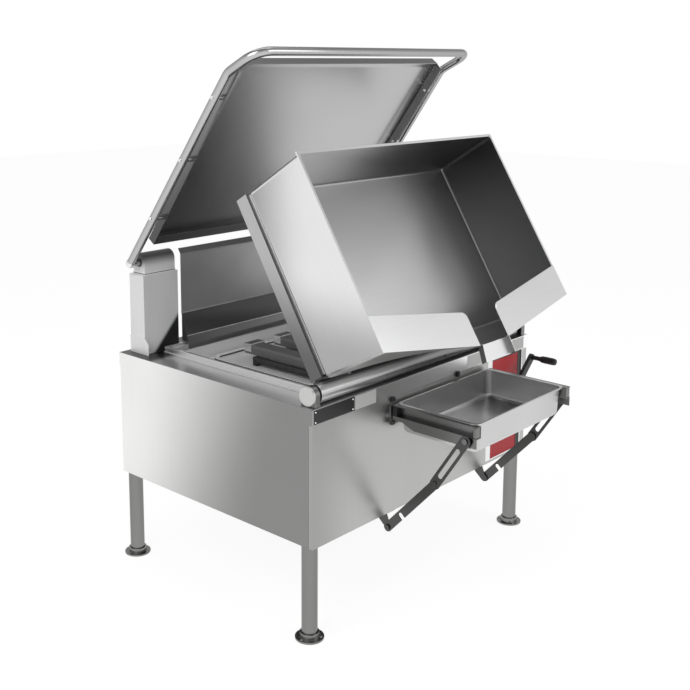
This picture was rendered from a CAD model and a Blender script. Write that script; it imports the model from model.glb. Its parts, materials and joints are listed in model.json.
"""Looks of the tilting skillet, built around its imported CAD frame, laid out as a Blender add-on.

Lengths are metres. X runs to the right, Y to the back and Z up, with the origin on the floor in the
middle of the four feet. The pan is modelled level and the cover closed, then turned to the rest pose.
"""

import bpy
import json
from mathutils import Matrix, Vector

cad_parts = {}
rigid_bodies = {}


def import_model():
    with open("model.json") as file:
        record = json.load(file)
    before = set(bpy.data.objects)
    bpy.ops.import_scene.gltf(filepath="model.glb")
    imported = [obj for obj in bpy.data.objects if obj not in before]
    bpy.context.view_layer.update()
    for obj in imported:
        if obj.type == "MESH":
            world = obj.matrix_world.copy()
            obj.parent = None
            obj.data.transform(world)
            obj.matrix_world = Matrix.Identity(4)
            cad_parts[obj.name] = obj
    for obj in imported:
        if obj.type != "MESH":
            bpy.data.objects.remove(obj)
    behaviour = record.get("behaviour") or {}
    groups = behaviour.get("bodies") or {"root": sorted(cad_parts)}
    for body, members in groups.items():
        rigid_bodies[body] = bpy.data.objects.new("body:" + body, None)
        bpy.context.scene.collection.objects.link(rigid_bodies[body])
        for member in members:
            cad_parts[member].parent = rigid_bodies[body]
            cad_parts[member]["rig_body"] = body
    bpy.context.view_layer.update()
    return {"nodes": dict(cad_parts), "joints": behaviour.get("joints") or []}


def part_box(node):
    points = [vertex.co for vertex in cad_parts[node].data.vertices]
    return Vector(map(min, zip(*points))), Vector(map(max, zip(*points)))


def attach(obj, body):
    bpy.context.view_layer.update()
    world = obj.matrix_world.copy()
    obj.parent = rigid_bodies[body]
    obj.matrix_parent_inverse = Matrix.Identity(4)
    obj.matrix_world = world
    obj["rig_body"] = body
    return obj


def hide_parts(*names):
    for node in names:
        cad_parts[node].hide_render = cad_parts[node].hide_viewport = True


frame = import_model()

import json
import math

import bpy
from mathutils import Matrix, Vector

bl_info = {
    "name": "Tilting skillet",
    "version": (1, 0, 0),
    "blender": (4, 5, 0),
    "location": "View3D > Sidebar > Skillet",
    "description": "Builds the visible pieces of a tilting skillet around its CAD frame",
    "category": "Object",
}

MM = 0.001
SHARP = math.radians(32)
FLAT = math.radians(1)
X_AXIS = Vector((1, 0, 0))
Y_AXIS = Vector((0, 1, 0))
Z_AXIS = Vector((0, 0, 1))


def length(name, default, description):
    """A length property in metres."""
    return bpy.props.FloatProperty(name=name, description=description, default=default, min=0.0, unit="LENGTH")


def colour(name, default, description):
    """A colour property."""
    return bpy.props.FloatVectorProperty(name=name, description=description, default=default, size=3,
                                         min=0.0, max=1.0, subtype="COLOR")


class SkilletSizes(bpy.types.PropertyGroup):
    """Sizes of the pieces that are modelled here."""
    sheet_edge: length("Sheet edge", 0.0008, "Rounding on the edges of thin sheet")
    fold_edge: length("Fold", 0.003, "Outer radius of a fold in the cabinet's sheet")
    bumper_width: length("Bumper width", 0.014, "Width of the tray's rubber bumper")
    bumper_depth: length("Bumper depth", 0.009, "How far the bumper stands out of the apron")
    plate_height: length("Plate height", 0.044, "Height of the blank plate on the apron")
    plate_width: length("Plate width", 0.182, "Width of the blank plate on the apron")
    plate_thickness: length("Plate thickness", 0.0012, "Thickness of the blank plates")
    rivet_radius: length("Rivet radius", 0.0028, "Radius of the rivets of the blank plates")
    bolt_radius: length("Bolt radius", 0.0065, "Head radius of the bolts in the handle and the torque tube")
    bolt_height: length("Bolt height", 0.004, "Head height of those bolts")
    tray_floor_round: length("Tray floor edge", 0.016, "Radius between the tray's walls and its floor")
    tray_corner: length("Tray corner", 0.022, "Radius of the tray's upright corners")
    tray_rim_end: length("Tray end rim", 0.0105, "Width of the tray's rim at its ends")
    tray_rim_side: length("Tray side rim", 0.005, "Width of the tray's rim along its long sides")
    tray_taper: length("Tray taper", 0.006, "How far each wall of the tray leans in from top to floor")
    tray_roll: length("Tray roll", 0.0035, "Height of the turned-down edge of the tray's rim")
    tube_radius: length("Tube radius", 0.03175, "Outer radius of the torque tube")
    tray_middle: length("Tray middle", 0.048, "Distance of the tray's middle to the right of the cabinet's middle")
    tray_sheet: length("Tray sheet", 0.0015, "Thickness of the tray's sheet")


class SkilletLooks(bpy.types.PropertyGroup):
    """Colours of the finishes."""
    bright_steel: colour("Bright steel", (0.84, 0.84, 0.845), "Lips, curb, console frame and bolts")
    deck_steel: colour("Deck steel", (0.7, 0.7, 0.7), "Top of the deck")
    cabinet_steel: colour("Cabinet steel", (0.26, 0.26, 0.258), "Side and rear panels, at their front end")
    front_steel: colour("Front steel", (0.39, 0.39, 0.385), "Front panel and apron")
    leg_steel: colour("Leg steel", (0.26, 0.26, 0.256), "Legs and feet")
    column_steel: colour("Column steel", (0.92, 0.92, 0.92), "Columns and hoods")
    pan_steel: colour("Pan steel", (0.42, 0.42, 0.42), "Outside of the pan, at its low end")
    inside_steel: colour("Pan inside", (0.78, 0.78, 0.782), "Inside of the pan")
    wall_steel: colour("Pan side wall", (0.085, 0.085, 0.085), "Shaded side wall of the pan")
    skirt_steel: colour("Skirt steel", (0.14, 0.14, 0.14), "Base skirt, at its low end")
    cover_steel: colour("Cover steel", (0.1, 0.1, 0.1), "Cover, at its low left corner")
    tube_steel: colour("Tube steel", (0.56, 0.56, 0.56), "Handle and torque tube")
    splash_steel: colour("Splash steel", (0.5, 0.5, 0.5), "Splash panel between the columns")
    strut_steel: colour("Strut steel", (0.1, 0.1, 0.099), "Struts of the folding support")
    rail_steel: colour("Rail steel", (0.21, 0.21, 0.208), "Rails of the folding support")
    tray_steel: colour("Tray steel", (0.6, 0.6, 0.6), "Receiving tray")
    dark_steel: colour("Dark steel", (0.12, 0.12, 0.12), "Burner rack and other hidden steel")
    iron: colour("Cast iron", (0.2, 0.2, 0.2), "Burners")
    red_paint: colour("Red paint", (0.6, 0.02, 0.03), "Control panel")
    black_paint: colour("Black paint", (0.012, 0.012, 0.013), "Crank arm and console strips")
    rubber: colour("Rubber", (0.01, 0.01, 0.011), "Grip, knob and bumpers")


def activate(obj):
    """Makes one object the only selected one, and active."""
    bpy.ops.object.select_all(action="DESELECT")
    obj.select_set(True)
    bpy.context.view_layer.objects.active = obj


def edit(obj):
    """Opens an object's mesh for editing, with everything selected."""
    activate(obj)
    bpy.ops.object.mode_set(mode="EDIT")
    bpy.ops.mesh.select_all(action="SELECT")


def leave_edit():
    bpy.ops.object.mode_set(mode="OBJECT")


def select_faces(obj, test):
    """Selects the faces whose middle and normal pass the test, in edit mode."""
    bpy.ops.mesh.select_all(action="DESELECT")
    bpy.ops.mesh.select_mode(type="FACE")
    leave_edit()
    for face in obj.data.polygons:
        face.select = bool(test(face.center, face.normal))
    bpy.ops.object.mode_set(mode="EDIT")


def select_edges(obj, test):
    """Selects the edges whose two ends pass the test, in edit mode."""
    bpy.ops.mesh.select_all(action="DESELECT")
    bpy.ops.mesh.select_mode(type="EDGE")
    leave_edit()
    points = obj.data.vertices
    for edge in obj.data.edges:
        a, b = (points[i].co for i in edge.vertices)
        edge.select = bool(test(a, b))
    bpy.ops.object.mode_set(mode="EDIT")


def smooth(obj):
    """Smooth shading that keeps the sharp edges."""
    activate(obj)
    bpy.ops.object.shade_smooth_by_angle(angle=SHARP)


def apply_modifier(obj, modifier):
    activate(obj)
    bpy.ops.object.modifier_apply(modifier=modifier.name)


def soften(obj, width, segments=2):
    """Rounds every sharp edge of an object by a bevel modifier that is applied."""
    modifier = obj.modifiers.new("Soft edges", "BEVEL")
    modifier.width = width
    modifier.segments = segments
    modifier.limit_method = "ANGLE"
    modifier.angle_limit = SHARP
    modifier.harden_normals = True
    apply_modifier(obj, modifier)


def settle(obj, matrix):
    """Moves an object by a matrix and writes the place into its mesh."""
    obj.matrix_world = matrix @ obj.matrix_world
    activate(obj)
    bpy.ops.object.transform_apply(location=True, rotation=True, scale=True)
    return obj


def keep(obj, body, material, replaces=()):
    """Gives a finished piece its material and body, and the CAD nodes that it stands for."""
    obj.data.materials.clear()
    obj.data.materials.append(material)
    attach(obj, body)
    if replaces:
        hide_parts(*replaces)
    return obj


def body_of(node):
    return frame["nodes"][node]["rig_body"]


def softened(node, material, width=0.0008, segments=2):
    """A copy of a CAD node with its edges rounded, which is shown in the node's place."""
    obj = bpy.data.objects.new("soft_" + node, frame["nodes"][node].data.copy())
    bpy.context.scene.collection.objects.link(obj)
    edit(obj)
    bpy.ops.mesh.remove_doubles(threshold=0.00002)
    bpy.ops.mesh.dissolve_limited(angle_limit=FLAT)
    leave_edit()
    smooth(obj)
    soften(obj, width, segments)
    return keep(obj, body_of(node), material, [node])


def paint_faces(obj, material, test):
    """Gives a second material to the faces whose middle and normal pass the test."""
    obj.data.materials.append(material)
    index = len(obj.data.materials) - 1
    for face in obj.data.polygons:
        if test(face.center, face.normal):
            face.material_index = index


def cube(name, low, high):
    """A box between two corners, left in object mode."""
    low, high = Vector(low), Vector(high)
    bpy.ops.object.select_all(action="DESELECT")
    bpy.ops.mesh.primitive_cube_add(size=1, location=(low + high) / 2)
    obj = bpy.context.active_object
    obj.name = name
    obj.scale = high - low
    bpy.ops.object.transform_apply(location=True, rotation=True, scale=True)
    return obj


def block(name, low, high, body, material, width=0.001, segments=2):
    """A box with rounded edges that rides on a body."""
    obj = cube(name, low, high)
    smooth(obj)
    soften(obj, width, segments)
    return keep(obj, body, material)


def pointing(origin, axis):
    """Matrix that takes Z to an axis and the origin to a point."""
    return Matrix.Translation(origin) @ Vector(axis).to_track_quat("Z", "Y").to_matrix().to_4x4()


def lathe(name, profile, origin, axis, segments=32):
    """A solid of revolution from (radius, height) pairs along an axis from an origin."""
    radius, height = profile[0]
    bpy.ops.object.select_all(action="DESELECT")
    bpy.ops.mesh.primitive_circle_add(vertices=segments, radius=radius, fill_type="NGON", location=(0, 0, height))
    obj = bpy.context.active_object
    obj.name = name
    bpy.ops.object.transform_apply(location=True, rotation=True, scale=True)
    edit(obj)
    bpy.ops.mesh.select_mode(type="FACE")
    for next_radius, next_height in profile[1:]:
        step = (0, 0, next_height - height)
        bpy.ops.mesh.extrude_region_move(TRANSFORM_OT_translate={"value": step})
        share = next_radius / radius
        bpy.ops.transform.resize(value=(share, share, 1), center_override=(0, 0, next_height))
        radius, height = next_radius, next_height
    bpy.ops.mesh.select_all(action="SELECT")
    bpy.ops.mesh.remove_doubles(threshold=0.000001)
    bpy.ops.mesh.normals_make_consistent(inside=False)
    leave_edit()
    smooth(obj)
    return settle(obj, pointing(origin, axis))


def copies(obj, offsets):
    """Joins copies of an object, moved by offsets, into one piece. The first stays where it is."""
    pieces = [obj]
    for offset in offsets:
        twin = obj.copy()
        twin.data = obj.data.copy()
        bpy.context.scene.collection.objects.link(twin)
        settle(twin, Matrix.Translation(offset))
        pieces.append(twin)
    bpy.ops.object.select_all(action="DESELECT")
    for piece in pieces:
        piece.select_set(True)
    bpy.context.view_layer.objects.active = obj
    bpy.ops.object.join()
    return obj


def mirrored_copy(obj):
    """Joins an object with its mirror image on the other side of the plane X = 0."""
    modifier = obj.modifiers.new("Other side", "MIRROR")
    modifier.use_axis = (True, False, False)
    modifier.use_mirror_merge = False
    apply_modifier(obj, modifier)
    edit(obj)
    bpy.ops.mesh.normals_make_consistent(inside=False)
    leave_edit()
    return obj


def joint(name):
    return next(j for j in frame["joints"] if j["name"] == name)


def pan_turn():
    """Matrix from the level pan to the rest pose."""
    tilt = joint("pan_tilt")
    pivot = Matrix.Translation(Vector(tilt["pos_m"]))
    angle = math.radians(-tilt["range_deg"][0])
    return pivot @ Matrix.Rotation(angle, 4, "X") @ pivot.inverted()


COVER_OPEN = math.radians(53.6)
COVER_BACK = 0.0945
HANDLE_BOLTS = ((0.118, 0.5743), (0.373, 0.5675), (0.628, 0.5606))


def cover_turn():
    """Matrix from the closed cover to the rest pose."""
    hinge = Matrix.Translation(Vector(joint("cover_lift")["pos_m"]))
    return hinge @ Matrix.Rotation(-COVER_OPEN, 4, "X") @ hinge.inverted()


def add_node(tree, kind, **inputs):
    """A shader node with its inputs set: a value as a number, a link as a socket."""
    node = tree.nodes.new(kind)
    for name, value in inputs.items():
        socket = node.inputs[int(name[1:])] if name[0] == "i" and name[1:].isdigit() else node.inputs[name]
        if isinstance(value, bpy.types.NodeSocket):
            tree.links.new(value, socket)
        else:
            socket.default_value = value
    return node


def maths(tree, operation, *values):
    node = tree.nodes.new("ShaderNodeMath")
    node.operation = operation
    for socket, value in zip(node.inputs, values):
        if isinstance(value, bpy.types.NodeSocket):
            tree.links.new(value, socket)
        else:
            socket.default_value = value
    return node.outputs[0]


def group_socket(group, name, kind, direction="INPUT", value=None):
    socket = group.interface.new_socket(name=name, in_out=direction, socket_type=kind)
    if value is not None:
        socket.default_value = value
    return socket


def grain_group():
    """Node group for rolled steel: fine grain along one direction and wide, soft blotches."""
    found = bpy.data.node_groups.get("Steel grain")
    if found:
        return found
    group = bpy.data.node_groups.new("Steel grain", "ShaderNodeTree")
    group_socket(group, "Position", "NodeSocketVector")
    group_socket(group, "Colour", "NodeSocketColor", value=(0.7, 0.7, 0.7, 1))
    group_socket(group, "Turn", "NodeSocketVector", value=(0, 0, 0))
    group_socket(group, "Stretch", "NodeSocketVector", value=(3, 300, 300))
    group_socket(group, "Grain", "NodeSocketFloat", value=0.05)
    group_socket(group, "Blotches", "NodeSocketFloat", value=0.06)
    group_socket(group, "Blotch scale", "NodeSocketFloat", value=3.0)
    group_socket(group, "Roughness", "NodeSocketFloat", value=0.3)
    group_socket(group, "Colour", "NodeSocketColor", "OUTPUT")
    group_socket(group, "Roughness", "NodeSocketFloat", "OUTPUT")
    group_socket(group, "Height", "NodeSocketFloat", "OUTPUT")
    given = group.nodes.new("NodeGroupInput").outputs
    out = group.nodes.new("NodeGroupOutput")
    rotate = add_node(group, "ShaderNodeVectorRotate", Vector=given["Position"])
    rotate.rotation_type = "EULER_XYZ"
    group.links.new(given["Turn"], rotate.inputs["Rotation"])
    stretched = group.nodes.new("ShaderNodeVectorMath")
    stretched.operation = "MULTIPLY"
    group.links.new(rotate.outputs[0], stretched.inputs[0])
    group.links.new(given["Stretch"], stretched.inputs[1])
    fine = add_node(group, "ShaderNodeTexNoise", Vector=stretched.outputs[0], Scale=1.0, Detail=3.0, Roughness=0.6)
    wide = add_node(group, "ShaderNodeTexNoise", Vector=rotate.outputs[0], Scale=given["Blotch scale"],
                    Detail=2.0, Roughness=0.5)
    fine_swing = maths(group, "MULTIPLY", maths(group, "SUBTRACT", fine.outputs["Fac"], 0.5), given["Grain"])
    wide_swing = maths(group, "MULTIPLY", maths(group, "SUBTRACT", wide.outputs["Fac"], 0.5), given["Blotches"])
    swing = maths(group, "MULTIPLY", maths(group, "ADD", fine_swing, wide_swing), 2.0)
    scale = group.nodes.new("ShaderNodeVectorMath")
    scale.operation = "SCALE"
    group.links.new(given["Colour"], scale.inputs[0])
    group.links.new(maths(group, "ADD", swing, 1.0), scale.inputs["Scale"])
    rough = maths(group, "ADD", given["Roughness"], maths(group, "MULTIPLY", swing, 0.15))
    group.links.new(scale.outputs[0], out.inputs["Colour"])
    group.links.new(rough, out.inputs["Roughness"])
    group.links.new(fine.outputs["Fac"], out.inputs["Height"])
    return group


def fade_group():
    """Node group that goes slowly from one tone to another along a direction."""
    found = bpy.data.node_groups.get("Slow fade")
    if found:
        return found
    group = bpy.data.node_groups.new("Slow fade", "ShaderNodeTree")
    group_socket(group, "Position", "NodeSocketVector")
    group_socket(group, "Direction", "NodeSocketVector", value=(0, 0, 1))
    group_socket(group, "Start", "NodeSocketFloat", value=0.0)
    group_socket(group, "End", "NodeSocketFloat", value=1.0)
    group_socket(group, "First", "NodeSocketColor", value=(0.7, 0.7, 0.7, 1))
    group_socket(group, "Last", "NodeSocketColor", value=(0.7, 0.7, 0.7, 1))
    group_socket(group, "Colour", "NodeSocketColor", "OUTPUT")
    given = group.nodes.new("NodeGroupInput").outputs
    out = group.nodes.new("NodeGroupOutput")
    along = group.nodes.new("ShaderNodeVectorMath")
    along.operation = "DOT_PRODUCT"
    group.links.new(given["Position"], along.inputs[0])
    group.links.new(given["Direction"], along.inputs[1])
    share = group.nodes.new("ShaderNodeMapRange")
    share.interpolation_type = "SMOOTHSTEP"
    group.links.new(along.outputs["Value"], share.inputs["Value"])
    group.links.new(given["Start"], share.inputs["From Min"])
    group.links.new(given["End"], share.inputs["From Max"])
    mixed = group.nodes.new("ShaderNodeMix")
    mixed.data_type = "RGBA"
    group.links.new(share.outputs["Result"], mixed.inputs[0])
    group.links.new(given["First"], mixed.inputs[6])
    group.links.new(given["Last"], mixed.inputs[7])
    group.links.new(mixed.outputs[2], out.inputs["Colour"])
    return group


def new_material(name, roughness, metallic):
    material = bpy.data.materials.new(name)
    material.use_nodes = True
    shader = material.node_tree.nodes["Principled BSDF"]
    shader.inputs["Roughness"].default_value = roughness
    shader.inputs["Metallic"].default_value = metallic
    return material, material.node_tree, shader


ALONG_X = (4, 420, 420)
ALONG_Y = (420, 4, 420)
ALONG_Z = (420, 420, 4)


def shaded(tone, share):
    return tuple(min(1.0, part * share) for part in tone)


def steel(name, tone, roughness=0.3, stretch=ALONG_X, turn=0.0, grain=0.05, blotches=0.06, bump=0.01, wide=3.0,
          metallic=1.0, fade=None, rim=0.0):
    """Stainless steel with a grain along one direction, turned about X for tilted pieces.

    A fade is a direction, its start and end along that direction, and the last tone as a share of the first.
    A rim darkens the surface where it turns away, as on round polished tubes.
    """
    found = bpy.data.materials.get(name)
    if found:
        return found
    material, tree, shader = new_material(name, roughness, metallic)
    place = tree.nodes.new("ShaderNodeTexCoord").outputs["Object"]
    group = tree.nodes.new("ShaderNodeGroup")
    group.node_tree = grain_group()
    tree.links.new(place, group.inputs["Position"])
    if fade:
        direction, start, end, share = fade
        slow = tree.nodes.new("ShaderNodeGroup")
        slow.node_tree = fade_group()
        tree.links.new(place, slow.inputs["Position"])
        slow.inputs["Direction"].default_value = direction
        slow.inputs["Start"].default_value = start
        slow.inputs["End"].default_value = end
        slow.inputs["First"].default_value = (*tone, 1)
        slow.inputs["Last"].default_value = (*shaded(tone, share), 1)
        tree.links.new(slow.outputs["Colour"], group.inputs["Colour"])
    else:
        group.inputs["Colour"].default_value = (*tone, 1)
    group.inputs["Turn"].default_value = (-turn, 0, 0)
    group.inputs["Stretch"].default_value = stretch
    group.inputs["Grain"].default_value = grain
    group.inputs["Blotches"].default_value = blotches
    group.inputs["Blotch scale"].default_value = wide
    group.inputs["Roughness"].default_value = roughness
    tone_out = group.outputs["Colour"]
    if rim:
        away = add_node(tree, "ShaderNodeLayerWeight", Blend=0.5).outputs["Facing"]
        sharp = maths(tree, "MULTIPLY", maths(tree, "POWER", away, 1.4), rim)
        darker = tree.nodes.new("ShaderNodeMix")
        darker.data_type = "RGBA"
        tree.links.new(sharp, darker.inputs[0])
        tree.links.new(tone_out, darker.inputs[6])
        darker.inputs[7].default_value = (0.05, 0.05, 0.05, 1)
        tone_out = darker.outputs[2]
    tree.links.new(tone_out, shader.inputs["Base Color"])
    tree.links.new(group.outputs["Roughness"], shader.inputs["Roughness"])
    normal = add_node(tree, "ShaderNodeBump", Strength=bump, Distance=0.001, Height=group.outputs["Height"])
    tree.links.new(normal.outputs[0], shader.inputs["Normal"])
    return material


def plain(name, tone, roughness, metallic=0.0, speckle=0.03, coat=0.0, scale=400.0):
    """Paint, plastic, rubber or cast metal with a fine uneven surface."""
    found = bpy.data.materials.get(name)
    if found:
        return found
    material, tree, shader = new_material(name, roughness, metallic)
    shader.inputs["Base Color"].default_value = (*tone, 1)
    shader.inputs["Coat Weight"].default_value = coat
    place = tree.nodes.new("ShaderNodeTexCoord").outputs["Object"]
    noise = add_node(tree, "ShaderNodeTexNoise", Vector=place, Scale=scale, Detail=2.0)
    rough = maths(tree, "ADD", maths(tree, "MULTIPLY", noise.outputs["Fac"], 2 * speckle), roughness - speckle)
    tree.links.new(rough, shader.inputs["Roughness"])
    normal = add_node(tree, "ShaderNodeBump", Strength=0.1, Distance=speckle * MM, Height=noise.outputs["Fac"])
    tree.links.new(normal.outputs[0], shader.inputs["Normal"])
    return material


class Finishes:
    """The finishes by name, made once from the colours in the sidebar."""

    def __init__(self, looks):
        tilt = math.radians(-joint("pan_tilt")["range_deg"][0])
        self.deck = steel("Deck steel", looks.deck_steel, 0.32, ALONG_X, fade=(Y_AXIS, 0.27, 0.31, 0.1))
        self.apron = steel("Apron steel", looks.front_steel, 0.34, ALONG_X, fade=(X_AXIS, -0.5, 0.3, 2.8))
        self.curb = steel("Curb steel", looks.bright_steel, 0.32, ALONG_X)
        self.sides = steel("Side steel", looks.cabinet_steel, 0.36, ALONG_Z, fade=((0, 1, 0.35), -0.1, 0.62, 3.4))
        self.rear = steel("Rear steel", looks.pan_steel, 0.36, ALONG_Z)
        self.front = steel("Front steel", looks.front_steel, 0.34, ALONG_Z, metallic=0.85,
                           fade=(X_AXIS, -0.6, -0.38, 1.3))
        self.legs = steel("Leg steel", looks.leg_steel, 0.25, ALONG_Z, rim=0.6)
        self.feet = steel("Foot steel", looks.leg_steel, 0.3, ALONG_X)
        self.column = steel("Column steel", looks.column_steel, 0.36, ALONG_Z, metallic=0.3)
        self.column_face = steel("Column face steel", looks.column_steel, 0.5, ALONG_Z, metallic=0,
                                 fade=((1.1, 0, -1), -1.335, -1.31, 0.02))
        self.hood = steel("Hood steel", looks.column_steel, 0.4, ALONG_X, metallic=0,
                          fade=(Z_AXIS, 1.055, 1.097, 0.06))
        self.splash = steel("Splash steel", looks.splash_steel, 0.3, ALONG_Z, grain=0.08, blotches=0.12,
                            wide=9.0, metallic=0.6)
        self.splash_low = steel("Low splash steel", looks.dark_steel, 0.35, ALONG_X, metallic=0.7)
        self.under = steel("Plate steel", looks.bright_steel, 0.35, ALONG_X, tilt)
        self.pan = steel("Pan steel", looks.pan_steel, 0.3, ALONG_Y, tilt, fade=(Z_AXIS, 0.9, 1.15, 2.0))
        self.pan_under = steel("Low pan steel", shaded(looks.front_steel, 1.7), 0.3, ALONG_X, tilt, metallic=0.6)
        self.inside = steel("Pan base steel", looks.inside_steel, 0.32, ALONG_X, tilt,
                            fade=(Z_AXIS, 0.92, 1.35, 0.55))
        self.wall = steel("Pan wall steel", looks.inside_steel, 0.32, ALONG_X, tilt, fade=(X_AXIS, -0.45, 0.3, 0.45))
        self.shaded_wall = steel("Right wall steel", looks.wall_steel, 0.3, ALONG_Y, tilt)
        self.skirt = steel("Skirt steel", looks.skirt_steel, 0.3, ALONG_Y, tilt, fade=(Z_AXIS, 0.85, 1.2, 3.5))
        self.recess = steel("Recess steel", shaded(looks.dark_steel, 1.6), 0.4, ALONG_Y, tilt)
        self.lips = steel("Lip steel", looks.bright_steel, 0.3, ALONG_X, tilt)
        self.cover = steel("Cover steel", looks.cover_steel, 0.26, ALONG_X, -COVER_OPEN,
                           fade=((1, 0, 0.7), 0.25, 1.1, 5.0))
        self.flange = steel("Flange steel", shaded(looks.wall_steel, 2.6), 0.3, ALONG_X, -COVER_OPEN)
        self.tube = steel("Torque tube steel", looks.tube_steel, 0.3, ALONG_X, fade=(X_AXIS, -0.35, -0.1, 0.5),
                          rim=0.3)
        self.polished = steel("Polished steel", looks.tube_steel, 0.16, ALONG_X, grain=0.02, blotches=0.03, bump=0,
                              rim=0.9)
        self.strut = steel("Strut steel", looks.strut_steel, 0.34, ALONG_Y, grain=0.08)
        self.rail = steel("Rail steel", looks.rail_steel, 0.3, ALONG_Y)
        self.console = steel("Console steel", looks.bright_steel, 0.3, ALONG_Z)
        self.tray = steel("Tray steel", looks.tray_steel, 0.26, ALONG_X, blotches=0.08, wide=6.0,
                          fade=(X_AXIS, 0.05, 0.3, 0.85))
        self.burner_floor = steel("Burner tray steel", looks.column_steel, 0.4, ALONG_X, metallic=0.2)
        self.dark = steel("Dark steel", looks.dark_steel, 0.45, ALONG_X, blotches=0.2)
        self.bolt = steel("Bolt steel", looks.bright_steel, 0.2, ALONG_X, bump=0)
        self.iron = plain("Cast iron", looks.iron, 0.6, 0.6, 0.1)
        self.red = plain("Red paint", looks.red_paint, 0.45, speckle=0.02)
        self.black = plain("Black paint", looks.black_paint, 0.35, speckle=0.04)
        self.rubber = plain("Rubber", looks.rubber, 0.5, speckle=0.05)
        self.pale = plain("Blank plate", (0.75, 0.75, 0.74), 0.4, speckle=0.03)
        self.amber = plain("Lamp lens", (0.8, 0.25, 0.02), 0.12, speckle=0.01, coat=0.5)


def finishes():
    return Finishes(bpy.context.scene.skillet_looks)


class SkilletStep:
    """What every step of the build has in common."""
    bl_options = {"REGISTER", "UNDO"}


class SKILLET_OT_camera(SkilletStep, bpy.types.Operator):
    """Place the camera where the photograph was taken from"""
    bl_idname = "skillet.camera"
    bl_label = "Camera"

    def execute(self, context):
        yaw, pitch = 0.8225, 0.1648
        right = Vector((math.cos(yaw), -math.sin(yaw), 0))
        ahead = Vector((math.sin(yaw) * math.cos(pitch), math.cos(yaw) * math.cos(pitch), -math.sin(pitch)))
        up = right.cross(ahead)
        data = bpy.data.cameras.new("Camera")
        data.lens = 54.74
        data.sensor_width = 36
        data.shift_x = 0.0548
        data.shift_y = -0.1587
        data.clip_end = 50
        camera = bpy.data.objects.new("Camera", data)
        context.scene.collection.objects.link(camera)
        turn = Matrix((right, up, -ahead)).transposed().to_4x4()
        camera.matrix_world = Matrix.Translation((-2.7844, -2.4719, 1.7669)) @ turn
        context.scene.camera = camera
        return {"FINISHED"}


def area_lamp(name, place, target, size, power):
    data = bpy.data.lights.new(name, "AREA")
    data.shape = "RECTANGLE"
    data.size, data.size_y = size
    data.energy = power
    lamp = bpy.data.objects.new(name, data)
    bpy.context.scene.collection.objects.link(lamp)
    aim = Vector(target) - Vector(place)
    lamp.matrix_world = Matrix.Translation(place) @ aim.to_track_quat("-Z", "Y").to_matrix().to_4x4()
    return lamp


class SKILLET_OT_stage(SkilletStep, bpy.types.Operator):
    """Build the floor, the light and the white surroundings"""
    bl_idname = "skillet.stage"
    bl_label = "Stage"

    def execute(self, context):
        scene = context.scene
        scene.view_settings.view_transform = "Standard"
        world = bpy.data.worlds.new("Studio")
        scene.world = world
        world.use_nodes = True
        tree = world.node_tree
        background = tree.nodes["Background"]
        place = tree.nodes.new("ShaderNodeTexCoord").outputs["Generated"]
        height = add_node(tree, "ShaderNodeSeparateXYZ", Vector=place).outputs["Z"]
        level = add_node(tree, "ShaderNodeMapRange", Value=height, i1=0.1, i2=0.9, i3=0.92, i4=0.22)
        seen = tree.nodes.new("ShaderNodeLightPath").outputs["Is Camera Ray"]
        tree.links.new(maths(tree, "MAXIMUM", seen, level.outputs[0]), background.inputs["Color"])

        bpy.ops.object.select_all(action="DESELECT")
        bpy.ops.mesh.primitive_plane_add(size=30)
        floor = context.active_object
        floor.name = "floor"
        material = bpy.data.materials.new("Floor")
        material.use_nodes = True
        tree = material.node_tree
        tree.nodes.remove(tree.nodes["Principled BSDF"])
        rays = tree.nodes.new("ShaderNodeLightPath").outputs
        seen = maths(tree, "MAXIMUM", rays["Is Camera Ray"],
                     maths(tree, "MAXIMUM", rays["Is Glossy Ray"], rays["Is Transmission Ray"]))
        glow = add_node(tree, "ShaderNodeEmission", Color=(0.9, 0.9, 0.9, 1), Strength=seen)
        matt = add_node(tree, "ShaderNodeBsdfDiffuse", Color=(0.18, 0.18, 0.18, 1))
        both = add_node(tree, "ShaderNodeAddShader", i0=glow.outputs[0], i1=matt.outputs[0])
        tree.links.new(both.outputs[0], tree.nodes["Material Output"].inputs["Surface"])
        floor.data.materials.append(material)
        lamps = [
            area_lamp("Key", (-3.2, -0.6, 3.4), (0, 0, 0.7), (2.4, 2.4), 45),
            area_lamp("Fill", (1.8, -4.2, 2.6), (0, 0, 0.8), (2.6, 2.0), 28),
            area_lamp("Top", (0.3, 0.2, 4.2), (0, 0, 0.9), (3.0, 2.0), 18),
        ]
        return {"FINISHED"}


class SKILLET_OT_cabinet(SkilletStep, bpy.types.Operator):
    """Build the cabinet's sheet metal, its legs and its feet"""
    bl_idname = "skillet.cabinet"
    bl_label = "Cabinet"

    def execute(self, context):
        f = finishes()
        deck = softened("deck_top", f.deck, 0.0018)
        paint_faces(deck, f.sides, lambda c, n: abs(n.z) < 0.5)
        paint_faces(deck, f.rear, lambda c, n: n.y > 0.7)
        paint_faces(deck, f.apron, lambda c, n: n.y < -0.7)
        softened("side_panel_left", f.sides)
        softened("side_panel_right", f.sides)
        softened("rear_panel", f.rear)
        softened("front_panel", f.front)
        softened("base_frame", f.dark, 0.001)
        for corner in ("front_left", "front_right", "rear_left", "rear_right"):
            softened("leg_" + corner, f.legs, 0.0005)
            softened("foot_" + corner, f.feet, 0.0012)
        return {"FINISHED"}


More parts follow.
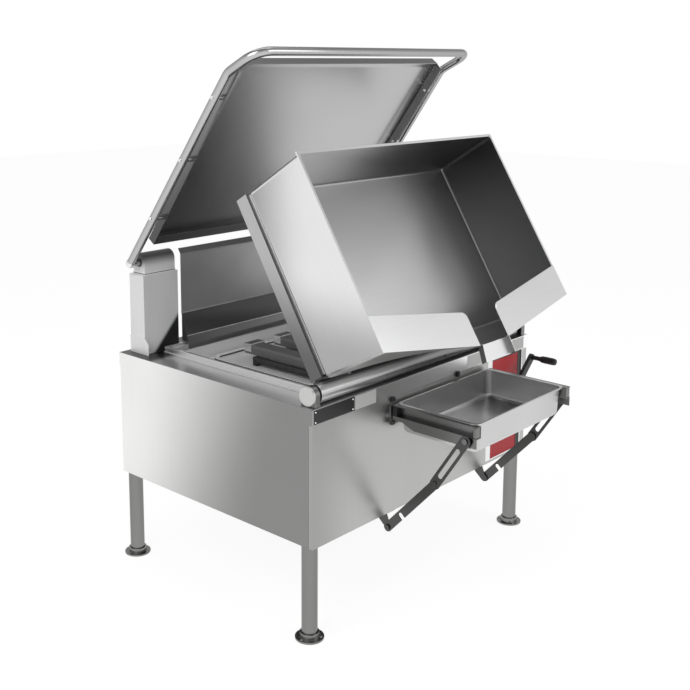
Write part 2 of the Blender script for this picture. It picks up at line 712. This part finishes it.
class SKILLET_OT_front_fittings(SkilletStep, bpy.types.Operator):
    """Build the blank plates and the tray's bumpers on the front"""
    bl_idname = "skillet.front_fittings"
    bl_label = "Front fittings"

    def execute(self, context):
        f = finishes()
        s = context.scene.skillet_sizes
        low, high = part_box("deck_top")
        front = low.y
        t = s.plate_thickness
        middle = (low.z + high.z) / 2
        plates = (("blank_plate_dark", -0.593, s.plate_width, f.black), ("blank_plate_left", -0.406, 0.102, f.pale),
                  ("blank_plate_right", 0.494, 0.077, f.pale), ("blank_plate_small", 0.204, 0.109, f.pale))
        for name, x, width, material in plates:
            z = s.plate_height / 2
            block(name, (x, front - t, middle - z), (x + width, front, middle + z), "cabinet", material, 0.0006)
        inset = 0.006
        rivet = lathe("plate_rivets", [(s.rivet_radius, 0), (s.rivet_radius * 0.8, 0.0012), (s.rivet_radius * 0.3, 0.0018)],
                      (-0.593 + inset, front - t, middle - s.plate_height / 2 + inset), -Y_AXIS, 16)
        dx, dz = s.plate_width - 2 * inset, s.plate_height - 2 * inset
        copies(rivet, [(dx, 0, 0), (0, 0, dz), (dx, 0, dz)])
        keep(rivet, "cabinet", f.bolt)
        w, d = s.bumper_width, s.bumper_depth
        edge = low.z - 0.012
        block("tray_bumper", (0.133, front - d, edge), (0.133 + w, front + 0.002, edge + 0.02), "cabinet", f.rubber, 0.002)
        block("tray_clip", (-0.231, front - d, edge), (-0.227 + w, front + 0.002, edge + w), "cabinet", f.rubber, 0.002)
        return {"FINISHED"}


class SKILLET_OT_console(SkilletStep, bpy.types.Operator):
    """Build the console with its panel, knob, switch and lamp"""
    bl_idname = "skillet.console"
    bl_label = "Console"

    def execute(self, context):
        f = finishes()
        softened("console_frame", f.console, 0.0012)
        softened("control_panel", f.red, 0.0004)
        softened("switch_box", f.dark, 0.001)
        low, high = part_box("control_panel")
        face = low.y
        strip = 0.02
        block("panel_strip_right", (high.x - strip, face - 0.001, low.z), (high.x, face, high.z), "cabinet", f.black, 0.0003)
        block("panel_strip_top", (low.x, face - 0.001, high.z - 0.01), (high.x - strip, face, high.z), "cabinet", f.strut, 0.0003)
        knob_low, knob_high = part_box("thermostat_knob")
        x, z = (knob_low.x + knob_high.x) / 2, (knob_low.z + knob_high.z) / 2
        r = (knob_high.x - knob_low.x) / 2
        profile = [(r * 0.98, 0), (r, 0.003), (r * 0.86, 0.008), (r * 0.8, 0.02), (r * 0.72, 0.023), (r * 0.2, 0.0235)]
        knob = lathe("knob", profile, (x, face - 0.001, z), -Y_AXIS, 48)
        pointer = cube("knob_pointer", (x - 0.004, face - 0.03, z - r + 0.004), (x + 0.004, face - 0.022, z + r - 0.003))
        smooth(pointer)
        soften(pointer, 0.0015, 3)
        activate(knob)
        pointer.select_set(True)
        bpy.ops.object.join()
        keep(knob, "knob", f.rubber, ["thermostat_knob"])
        tick = cube("dial_ticks", (x - 0.0008, face - 0.0004, z + r + 0.004), (x + 0.0008, face, z + r + 0.011))
        centre = Matrix.Translation((x, 0, z))
        ticks = [tick]
        for i in range(1, 11):
            twin = tick.copy()
            twin.data = tick.data.copy()
            context.scene.collection.objects.link(twin)
            turn = centre @ Matrix.Rotation(math.radians(27 * i), 4, "Y") @ centre.inverted()
            ticks.append(settle(twin, turn))
        activate(tick)
        for piece in ticks:
            piece.select_set(True)
        bpy.ops.object.join()
        soften(tick, 0.0002, 1)
        keep(tick, "cabinet", f.pale)
        softened("power_switch", f.rubber, 0.002, 3)
        switch_low, switch_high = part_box("power_switch")
        bezel = cube("switch_bezel", (switch_low.x - 0.004, face - 0.0015, switch_low.z - 0.004),
                     (switch_high.x + 0.004, face, switch_high.z + 0.004))
        edit(bezel)
        select_faces(bezel, lambda c, n: abs(n.y) > 0.9)
        bpy.ops.mesh.inset(thickness=0.0035)
        bpy.ops.mesh.delete(type="FACE")
        bpy.ops.mesh.select_mode(type="EDGE")
        bpy.ops.mesh.select_all(action="DESELECT")
        bpy.ops.mesh.select_non_manifold()
        bpy.ops.mesh.bridge_edge_loops()
        bpy.ops.mesh.select_all(action="SELECT")
        bpy.ops.mesh.normals_make_consistent(inside=False)
        leave_edit()
        soften(bezel, 0.0004, 1)
        keep(bezel, "cabinet", f.bolt)
        lamp = lathe("pilot_lamp", [(0.009, 0), (0.009, 0.002), (0.0065, 0.003), (0.006, 0.006), (0.003, 0.009)],
                     (switch_low.x - 0.045, face, (switch_low.z + switch_high.z) / 2), -Y_AXIS, 32)
        keep(lamp, "cabinet", f.amber)
        return {"FINISHED"}


class SKILLET_OT_crank(SkilletStep, bpy.types.Operator):
    """Build the crank and its turned grip"""
    bl_idname = "skillet.crank"
    bl_label = "Crank"

    def execute(self, context):
        f = finishes()
        softened("crank_arm", f.black, 0.0018, 3)
        low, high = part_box("crank_grip")
        x, z = (low.x + high.x) / 2, (low.z + high.z) / 2
        r, long = (high.x - low.x) / 2, high.y - low.y
        neck = 0.034
        profile = [(r * 0.66, 0), (r * 0.7, 0.002), (r * 0.62, 0.006), (r * 0.62, neck - 0.008), (r * 0.8, neck),
                   (r * 0.96, neck + 0.006), (r, neck + 0.02), (r, long - 0.014), (r * 0.93, long - 0.006),
                   (r * 0.76, long - 0.0015), (r * 0.5, long)]
        grip = lathe("turned_grip", profile, (x, high.y, z), -Y_AXIS, 48)
        keep(grip, "grip", f.rubber, ["crank_grip"])
        hub_low, hub_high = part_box("crank_arm")
        hub_x, hub_z = hub_low.x + 0.016, hub_low.z + 0.016
        hub_face = high.y + 0.001
        nut = lathe("crank_nut", [(0.008, 0), (0.008, 0.0025), (0.006, 0.0035)], (hub_x, hub_face, hub_z), -Y_AXIS, 6)
        keep(nut, "crank", f.bolt)
        return {"FINISHED"}


class SKILLET_OT_burner_box(SkilletStep, bpy.types.Operator):
    """Build the curb, the burner tray and the burners"""
    bl_idname = "skillet.burner_box"
    bl_label = "Burner box"

    def execute(self, context):
        f = finishes()
        softened("burner_curb", f.curb, 0.0015)
        burner_tray = softened("burner_tray", f.burner_floor, 0.0008)
        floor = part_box("burner_tray")[0].z
        paint_faces(burner_tray, f.dark, lambda c, n: abs(n.z) < 0.9 and c.z < floor + 0.008)
        softened("burner_rack", f.dark, 0.0015)
        softened("gas_manifold", f.dark, 0.001)
        for i in range(4):
            low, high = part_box("burner_%d" % (i + 1))
            softened("burner_%d" % (i + 1), f.iron, 0.002)
            block("burner_cap_%d" % (i + 1), (low.x - 0.003, high.y - 0.035, low.z + 0.008),
                  (high.x + 0.003, high.y + 0.001, high.z + 0.003), "cabinet", f.bolt, 0.002)
        return {"FINISHED"}


class SKILLET_OT_columns(SkilletStep, bpy.types.Operator):
    """Build the rear columns, their hoods, the splash panel and the bearing blocks"""
    bl_idname = "skillet.columns"
    bl_label = "Columns"

    def execute(self, context):
        f = finishes()
        for side in ("left", "right"):
            column = softened("column_" + side, f.column, 0.002)
            if side == "left":
                paint_faces(column, f.column_face, lambda c, n: n.y < -0.7)
            softened("hood_" + side, f.hood, 0.002, 3)
            softened("pivot_block_" + side, f.rail, 0.002)
        splash = softened("splash_panel", f.splash, 0.0008)
        foot_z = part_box("splash_panel")[0].z
        low_fold, high_fold, lip = foot_z + 0.045, foot_z + 0.123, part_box("splash_panel")[1].z - 0.018
        paint_faces(splash, f.splash_low, lambda c, n: c.z < high_fold or c.z > lip or abs(n.x) > 0.7)
        paint_faces(splash, f.rail, lambda c, n: c.z < low_fold and abs(n.x) < 0.7)
        paint_faces(splash, f.iron, lambda c, n: c.z > lip)
        paint_faces(splash, f.lips, lambda c, n: abs(c.z - low_fold) < 0.002 and abs(n.z) < 0.9)
        hood_low, hood_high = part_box("hood_right")
        seam_z = hood_low.z + 0.0025
        seam = cube("hood_seams", (hood_low.x, hood_high.y - 0.0648, seam_z),
                    (hood_high.x - 0.0185, hood_high.y + 0.0002, seam_z + 0.002))
        soften(seam, 0.0002, 1)
        keep(mirrored_copy(seam), "cabinet", f.black)
        for node in ("tilt_gearbox", "output_arm", "coupling_rod"):
            softened(node, f.dark, 0.001)
        low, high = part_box("hood_right")
        hinge = Vector(joint("cover_lift")["pos_m"])
        outer = high.x - 0.022
        ring = lathe("hood_rings", [(0.019, 0), (0.019, 0.002), (0.017, 0.0035)], (outer, hinge.y, hinge.z), X_AXIS, 32)
        keep(mirrored_copy(ring), "cabinet", f.strut)
        return {"FINISHED"}


class SKILLET_OT_pan(SkilletStep, bpy.types.Operator):
    """Build the pan with its lips, spout, heating plate, skirt and torque tube"""
    bl_idname = "skillet.pan"
    bl_label = "Pan"

    def execute(self, context):
        f = finishes()
        shell = softened("pan_shell", f.pan, 0.001)
        turn = pan_turn()
        level = turn.to_3x3().inverted()
        cavity = turn @ Vector((0, -0.09, 0.96))
        paint_faces(shell, f.wall, lambda c, n: (cavity - c).dot(n) > 0)
        paint_faces(shell, f.inside, lambda c, n: (cavity - c).dot(n) > 0 and (level @ n).z > 0.7)
        paint_faces(shell, f.shaded_wall, lambda c, n: (cavity - c).dot(n) > 0 and n.x < -0.7)
        paint_faces(shell, f.pan_under, lambda c, n: (cavity - c).dot(n) < 0 and (level @ n).y < -0.5)
        paint_faces(shell, f.recess, lambda c, n: (cavity - c).dot(n) < 0 and -0.97 < (level @ n).z < -0.3 and n.x < -0.2)
        softened("splash_lip_left", f.lips)
        softened("splash_lip_right", f.lips)
        spout = softened("pour_spout", f.lips)
        paint_faces(spout, f.rail, lambda c, n: abs(n.x) > 0.6)
        softened("heating_plate", f.under, 0.002)
        skirt = softened("base_skirt", f.skirt)
        paint_faces(skirt, f.recess, lambda c, n: (level @ n).z > 0.7)
        softened("torque_tube", f.tube, 0.001)
        s = context.scene.skillet_sizes
        axis = Vector(joint("pan_tilt")["pos_m"])
        ahead = Vector((0, -0.97, -0.25)).normalized()
        r, h = s.bolt_radius, s.bolt_height
        r_tube = s.tube_radius
        cap = lathe("tube_end_cap", [(r_tube, 0), (r_tube, 0.004), (r_tube * 0.93, 0.007), (r_tube * 0.6, 0.0085)],
                    (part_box("torque_tube")[0].x, axis.y, axis.z), -X_AXIS, 48)
        keep(cap, "pan", f.pan_under)
        for i, x in enumerate((-0.245, 0.075)):
            place = Vector((x, axis.y, axis.z)) + ahead * (r_tube - 0.0005)
            bolt = lathe("tube_bolt_%d" % (i + 1), [(r, 0), (r, h * 0.7), (r * 0.8, h)], place, ahead, 6)
            keep(bolt, "pan", f.rail)
        return {"FINISHED"}


class SKILLET_OT_cover(SkilletStep, bpy.types.Operator):
    """Build the cover with its handle tube and bolts"""
    bl_idname = "skillet.cover"
    bl_label = "Cover"

    def execute(self, context):
        f = finishes()
        s = context.scene.skillet_sizes
        shell = softened("cover_shell", f.cover, 0.0012)
        turn = cover_turn()
        closed = turn.to_3x3().inverted()
        low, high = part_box("cover_shell")
        middle = (low + high) / 2
        paint_faces(shell, f.flange, lambda c, n: abs((closed @ n).z) < 0.5
                    and ((middle - c).dot(n) > 0 or abs((closed @ n).y) > 0.5))
        softened("handle_tube", f.polished, 0.0005)
        r, h = s.bolt_radius, s.bolt_height
        head = [(r, 0), (r, h * 0.5), (r * 0.8, h * 0.85), (r * 0.4, h)]
        hinge = Vector(joint("cover_lift")["pos_m"])
        for i, (along, tube_x) in enumerate(HANDLE_BOLTS):
            place = (tube_x + 0.0143, hinge.y - COVER_BACK - along, hinge.z + 0.001)
            bolt = lathe("handle_bolt_%d" % (i + 1), head, place, X_AXIS, 20)
            nut_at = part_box("cover_shell")[1].x - 0.002
            nut = lathe("handle_nut_%d" % (i + 1), head, (nut_at, place[1], place[2]), -X_AXIS, 6)
            for piece in (bolt, nut):
                keep(settle(mirrored_copy(piece), turn), "cover", f.bolt)
        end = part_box("handle_tube")[1].x - 0.01
        profile = [(0.01, 0), (0.0145, 0.004), (0.0165, 0.01), (0.0168, 0.0155), (0.0155, 0.022), (0.012, 0.027),
                   (0.006, 0.0305)]
        knob = lathe("handle_end_knobs", profile, (end - 0.0215, hinge.y, hinge.z), X_AXIS, 32)
        keep(mirrored_copy(knob), "cover", f.bolt)
        return {"FINISHED"}


class SKILLET_OT_shelf(SkilletStep, bpy.types.Operator):
    """Build the folding support of the tray"""
    bl_idname = "skillet.shelf"
    bl_label = "Folding support"

    def execute(self, context):
        f = finishes()
        s = context.scene.skillet_sizes
        softened("shelf_hinge_rod", f.strut, 0.0005)
        for side in ("left", "right"):
            softened("shelf_rail_" + side, f.rail, 0.001)
            softened("shelf_bracket_" + side, f.rail, 0.001)
            softened("lower_strut_" + side, f.strut, 0.0008)
            softened("upper_strut_" + side, f.strut, 0.0008)
            softened("strut_foot_" + side, f.strut, 0.0008)
            low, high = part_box("shelf_rail_" + side)
            sign = -1 if side == "left" else 1
            inner, outer = sorted((s.tray_middle + sign * 0.2595, s.tray_middle + sign * 0.2805))
            block("rail_stop_" + side, (inner, high.y - 0.024, high.z - 0.0355), (outer, high.y - 0.01, high.z - 0.0035),
                  "shelf", f.black, 0.0015)
            block("rail_end_" + side, (inner, low.y + 0.001, high.z - 0.0355), (outer, low.y + 0.013, high.z - 0.0035),
                  "shelf", f.rail, 0.0015)
        return {"FINISHED"}


class SKILLET_OT_tray(SkilletStep, bpy.types.Operator):
    """Build the receiving tray with its rounded floor and rolled rim"""
    bl_idname = "skillet.tray"
    bl_label = "Receiving tray"

    def execute(self, context):
        f = finishes()
        s = context.scene.skillet_sizes
        low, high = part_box("receiving_tray")
        t = s.tray_sheet
        rim = Vector((s.tray_rim_end, s.tray_rim_side, 0))
        tray = cube("tray_pressing", low + rim + Vector((0, 0, t)), high - rim - Vector((0, 0, t / 2)))
        edit(tray)
        select_faces(tray, lambda c, n: n.z > 0.9)
        bpy.ops.mesh.delete(type="ONLY_FACE")
        select_faces(tray, lambda c, n: n.z < -0.9)
        middle = (low + high) / 2
        size = high - low
        shrink = 2 * s.tray_taper
        bpy.ops.transform.resize(value=(1 - shrink / (size.x - 2 * rim.x), 1 - shrink / (size.y - 2 * rim.y), 1),
                                 center_override=(middle.x, middle.y, low.z))
        select_edges(tray, lambda a, b: abs(a.z - b.z) > 0.05)
        bpy.ops.mesh.bevel(offset=s.tray_corner, segments=8, affect="EDGES")
        floor = low.z + t
        select_edges(tray, lambda a, b: max(a.z, b.z) < floor + 0.001)
        bpy.ops.mesh.bevel(offset=s.tray_floor_round, segments=5, affect="EDGES")
        top = high.z - t / 2
        select_edges(tray, lambda a, b: min(a.z, b.z) > top - 0.001)
        bpy.ops.mesh.extrude_region_move(TRANSFORM_OT_translate={"value": (0, 0, 0)})
        bpy.ops.transform.resize(value=(size.x / (size.x - 2 * rim.x), size.y / (size.y - 2 * rim.y), 1),
                                 center_override=(middle.x, middle.y, top))
        bpy.ops.mesh.extrude_region_move(TRANSFORM_OT_translate={"value": (0, 0, -s.tray_roll)})
        bpy.ops.mesh.select_all(action="SELECT")
        bpy.ops.mesh.normals_make_consistent(inside=False)
        leave_edit()
        wall = tray.modifiers.new("Sheet", "SOLIDIFY")
        wall.thickness = t
        wall.offset = 0
        apply_modifier(tray, wall)
        smooth(tray)
        soften(tray, 0.0006, 2)
        keep(tray, "tray", f.tray, ["receiving_tray"])
        return {"FINISHED"}


STEPS = (
    ("Camera", "camera"), ("Stage", "stage"), ("Cabinet", "cabinet"), ("Front fittings", "front_fittings"),
    ("Console", "console"), ("Crank", "crank"), ("Burner box", "burner_box"), ("Columns", "columns"),
    ("Pan", "pan"), ("Cover", "cover"), ("Folding support", "shelf"), ("Receiving tray", "tray"),
)


class SKILLET_PT_panel(bpy.types.Panel):
    """The build's steps, sizes and colours in the sidebar"""
    bl_label = "Tilting skillet"
    bl_idname = "SKILLET_PT_panel"
    bl_space_type = "VIEW_3D"
    bl_region_type = "UI"
    bl_category = "Skillet"

    def draw(self, context):
        layout = self.layout
        for label, step in STEPS:
            layout.operator("skillet." + step, text=label)
        for holder in (context.scene.skillet_sizes, context.scene.skillet_looks):
            box = layout.box()
            for name in holder.__annotations__:
                box.prop(holder, name)


CLASSES = (
    SkilletSizes, SkilletLooks, SKILLET_OT_camera, SKILLET_OT_stage, SKILLET_OT_cabinet,
    SKILLET_OT_front_fittings, SKILLET_OT_console, SKILLET_OT_crank, SKILLET_OT_burner_box,
    SKILLET_OT_columns, SKILLET_OT_pan, SKILLET_OT_cover, SKILLET_OT_shelf, SKILLET_OT_tray, SKILLET_PT_panel,
)


def register():
    for item in CLASSES:
        bpy.utils.register_class(item)
    bpy.types.Scene.skillet_sizes = bpy.props.PointerProperty(type=SkilletSizes)
    bpy.types.Scene.skillet_looks = bpy.props.PointerProperty(type=SkilletLooks)


def unregister():
    del bpy.types.Scene.skillet_looks
    del bpy.types.Scene.skillet_sizes
    for item in reversed(CLASSES):
        bpy.utils.unregister_class(item)


def main():
    register()
    for label, step in STEPS:
        getattr(bpy.ops.skillet, step)()


if __name__ == "__main__":
    main()
